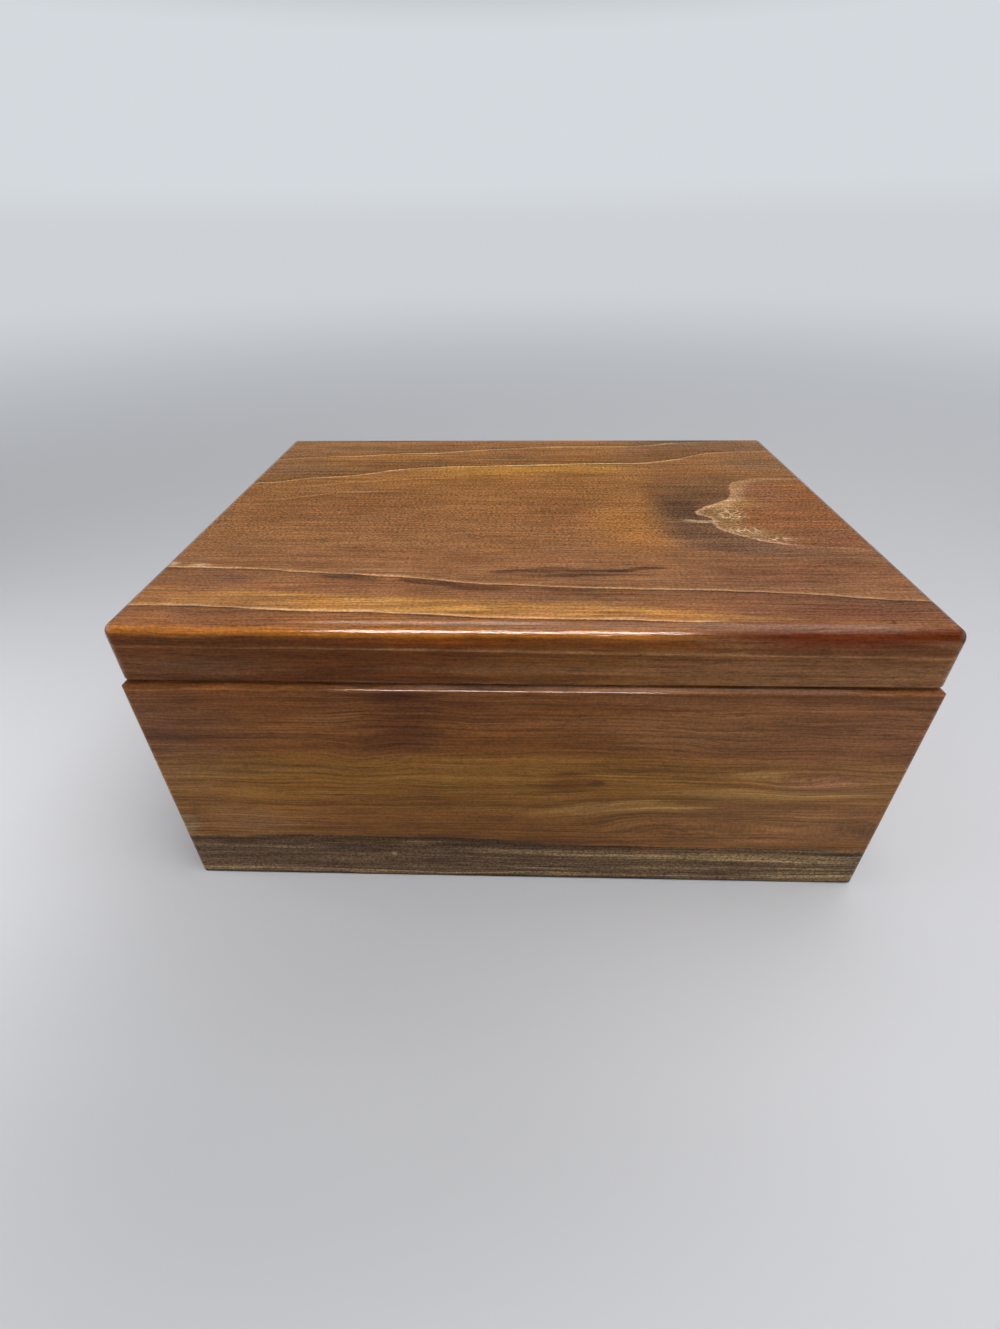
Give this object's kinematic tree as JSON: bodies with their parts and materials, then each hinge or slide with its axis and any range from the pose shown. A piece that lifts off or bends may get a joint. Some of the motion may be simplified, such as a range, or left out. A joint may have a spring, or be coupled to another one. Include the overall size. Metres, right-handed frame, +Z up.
{
  "type": "wooden storage box",
  "caption": "Low rectangular keepsake box of varnished wood with mitred walls, a grooved-in bottom panel and a thick slab lid that opens on brass butt hinges along the back.",
  "frame": {"origin": "on the table, under the middle of the shut box", "axes": "+X along the length to the viewer's right, +Y to the back where the hinges are, +Z up"},
  "size_m": [0.28, 0.216, 0.125],
  "materials": {
    "lid_wood": "gloss varnish",
    "wall_wood": "gloss varnish",
    "bottom_wood": "satin",
    "hinge_brass": "satin",
    "screw_brass": "satin"
  },
  "bodies": {
    "body": {"front_wall": "wall_wood", "right_wall": "wall_wood", "back_wall": "wall_wood", "left_wall": "wall_wood", "bottom_panel": "bottom_wood", "left_hinge_body_leaf": "hinge_brass", "left_hinge_pin": "hinge_brass", "left_body_leaf_screws": "screw_brass", "right_hinge_body_leaf": "hinge_brass", "right_hinge_pin": "hinge_brass", "right_body_leaf_screws": "screw_brass"},
    "lid": {"lid_board": "lid_wood", "left_hinge_lid_leaf": "hinge_brass", "left_lid_leaf_screws": "screw_brass", "right_hinge_lid_leaf": "hinge_brass", "right_lid_leaf_screws": "screw_brass"}
  },
  "joints": [
    {"name": "lid_hinge", "type": "hinge", "parent": "body", "child": "lid", "pos_m": [0, 0.105, 0.1035], "axis": [-1, 0, 0], "range_deg": [0, 100]}
  ]
}
